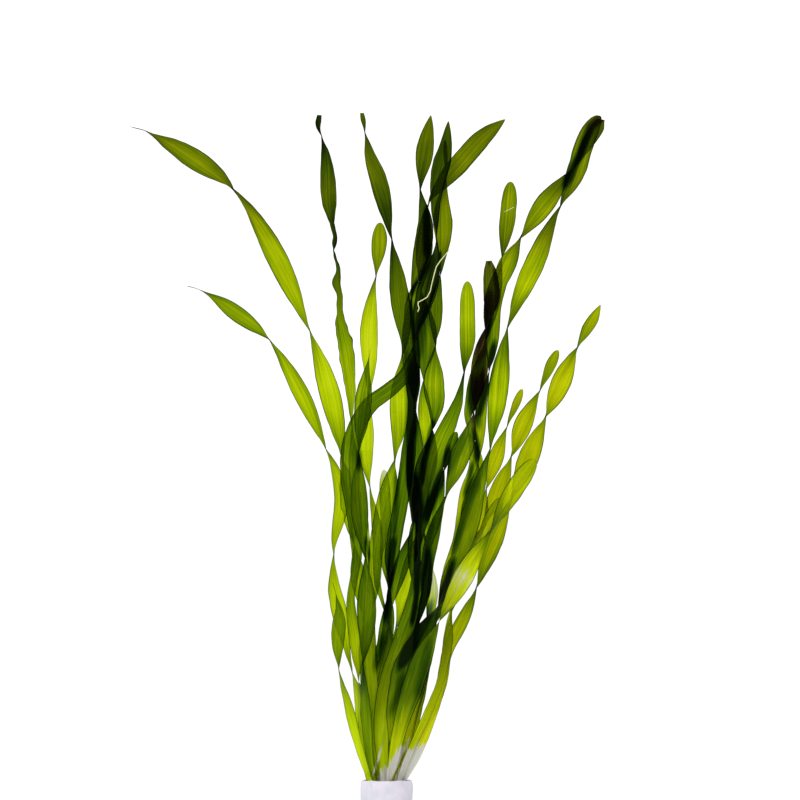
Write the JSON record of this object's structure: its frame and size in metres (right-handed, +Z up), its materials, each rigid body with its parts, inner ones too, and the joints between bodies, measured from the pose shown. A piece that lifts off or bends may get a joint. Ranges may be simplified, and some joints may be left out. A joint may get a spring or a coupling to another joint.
{
  "type": "vallisneria plant bunch",
  "caption": "Bunch of long twisted ribbon leaves of corkscrew vallisneria, rising and fanning out from a soft white foam sleeve.",
  "frame": {"origin": "middle of the flat foot of the sleeve", "axes": "+Z up along the sleeve's axis towards the leaf tips, -Y towards the viewer of the picture, +X to the viewer's right"},
  "size_m": [0.1922, 0.0784, 0.3049],
  "materials": {
    "leaf": "satin, translucent",
    "foam": "matte",
    "crown": "matte"
  },
  "bodies": {
    "root": {"foam_sleeve": "foam", "crown_bunch": "crown", "leaf_01": "leaf", "leaf_02": "leaf", "leaf_03": "leaf", "leaf_04": "leaf", "leaf_05": "leaf", "leaf_06": "leaf", "leaf_07": "leaf", "leaf_08": "leaf", "leaf_09": "leaf", "leaf_10": "leaf", "leaf_11": "leaf", "leaf_12": "leaf", "leaf_13": "leaf", "leaf_14": "leaf", "leaf_15": "leaf", "leaf_16": "leaf", "leaf_17": "leaf", "leaf_18": "leaf", "leaf_19": "leaf", "leaf_20": "leaf", "leaf_21": "leaf", "leaf_22": "leaf", "leaf_23": "leaf", "leaf_24": "leaf"}
  },
  "joints": []
}
